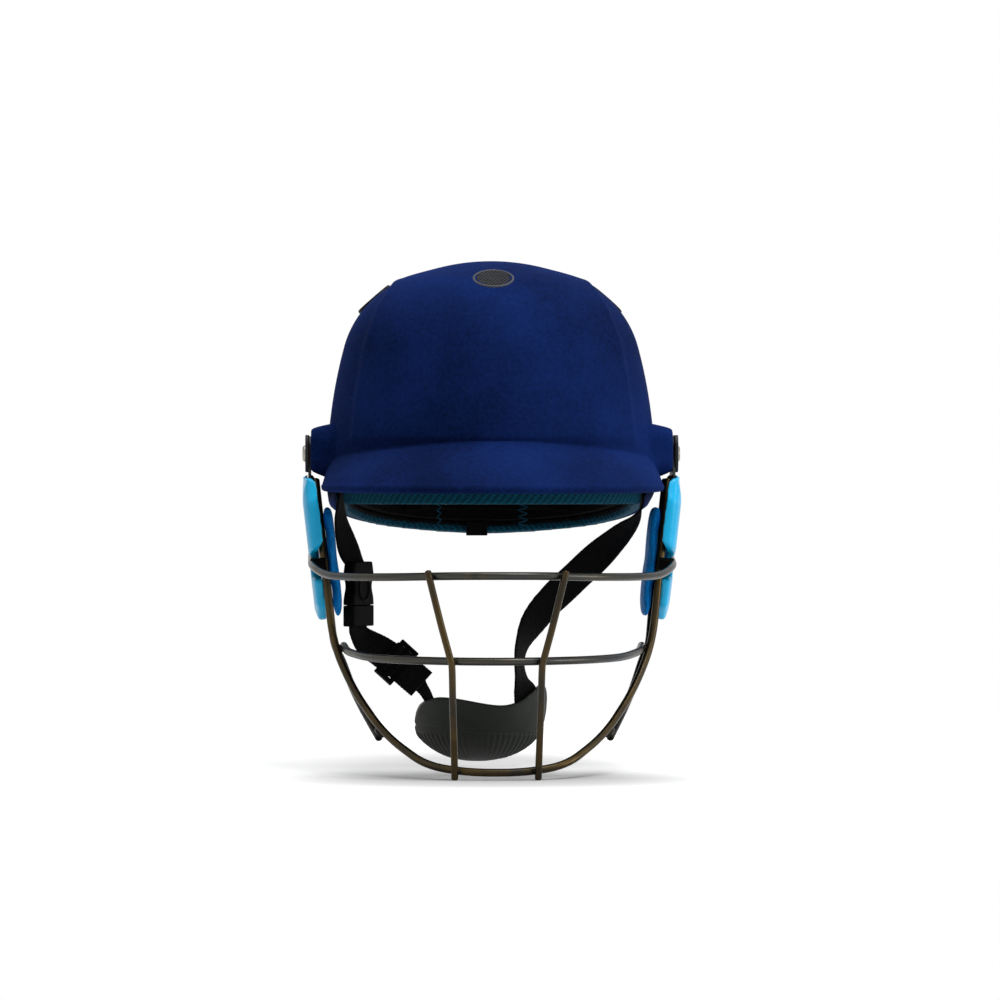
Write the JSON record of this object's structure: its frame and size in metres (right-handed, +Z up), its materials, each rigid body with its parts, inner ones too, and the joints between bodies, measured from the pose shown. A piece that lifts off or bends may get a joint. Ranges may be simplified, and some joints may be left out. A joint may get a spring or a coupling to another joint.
{
  "type": "cricket helmet",
  "caption": "Peaked cricket helmet with a cloth-covered shell, foam liner, tilting wire face guard, plastic ear guards and a buckled chin strap with a moulded cup.",
  "frame": {"origin": "middle of the head opening, level with the peak's lower edge", "axes": "+X to the helmet's left as worn (image right), +Y to the back of the head, +Z up; the peak and face guard point to -Y"},
  "size_m": [0.236, 0.3079, 0.3167],
  "materials": {
    "navy_cloth": "fine woven cloth stretched over the shell",
    "shell_plastic": "moulded ABS",
    "liner_foam": "fine-cell polystyrene foam",
    "pad_fabric": "brushed pad fabric",
    "teal_mesh": "mesh cloth over thin foam",
    "vent_plastic": "moulded",
    "guard_steel": "dark plated wire",
    "upright_steel": "bronzed wire",
    "nickel": "nickel plated",
    "ear_plastic": "glossy moulding",
    "ear_foam": "closed-cell foam",
    "webbing": "woven polyester webbing",
    "buckle_plastic": "moulded acetal",
    "cup_rubber": "soft moulding with a ribbed lower band",
    "lining_foam": "thin fabric-faced foam"
  },
  "bodies": {
    "helmet": {"cloth_cover": "navy_cloth", "outer_shell": "shell_plastic", "impact_liner": "liner_foam", "front_pad": "pad_fabric", "rear_pad": "pad_fabric", "left_side_pad": "pad_fabric", "right_side_pad": "pad_fabric", "crown_pad": "pad_fabric", "front_trim": "teal_mesh", "rear_trim": "teal_mesh", "rear_tab": "webbing", "vent_front": "vent_plastic", "vent_left": "vent_plastic", "vent_right": "vent_plastic", "vent_rear": "vent_plastic", "grille_tee_nuts": "nickel", "grille_screws": "nickel", "grille_washers": "nickel", "strap_rivets": "nickel"},
    "face_guard": {"left_bracket": "guard_steel", "right_bracket": "guard_steel", "frame_wire": "guard_steel", "left_side_wire": "guard_steel", "right_side_wire": "guard_steel", "top_bar": "guard_steel", "mid_bar": "guard_steel", "left_upright": "upright_steel", "right_upright": "upright_steel", "left_ear_guard": "ear_plastic", "right_ear_guard": "ear_plastic", "left_ear_pad": "ear_foam", "right_ear_pad": "ear_foam", "ear_guard_rivets": "nickel", "bar_clips": "buckle_plastic"},
    "chin_strap": {"left_strap_upper": "webbing", "buckle_socket": "buckle_plastic", "right_strap": "webbing", "left_strap_lower": "webbing", "chin_cup": "cup_rubber", "cup_lining": "lining_foam"},
    "buckle_plug_body": {"buckle_plug": "buckle_plastic"},
    "slider_body": {"slider": "buckle_plastic", "strap_tail": "webbing"}
  },
  "joints": [
    {"name": "grille_tilt", "type": "hinge", "parent": "helmet", "child": "face_guard", "pos_m": [0, -0.022, 0.0214], "axis": [1, 0, 0], "range_deg": [-4, 6]},
    {"name": "strap_swing", "type": "hinge", "parent": "helmet", "child": "chin_strap", "pos_m": [0, -0.025, 0.006], "axis": [1, 0, 0], "range_deg": [-25, 25]},
    {"name": "buckle_release", "type": "slide", "parent": "chin_strap", "child": "buckle_plug_body", "axis": [0, 0, -1], "range_m": [0, 0.017], "deforming": ["left_strap_lower"]},
    {"name": "slider_adjust", "type": "slide", "parent": "chin_strap", "child": "slider_body", "axis": [0.7385, 0, -0.6743], "range_m": [-0.003, 0.006]}
  ]
}
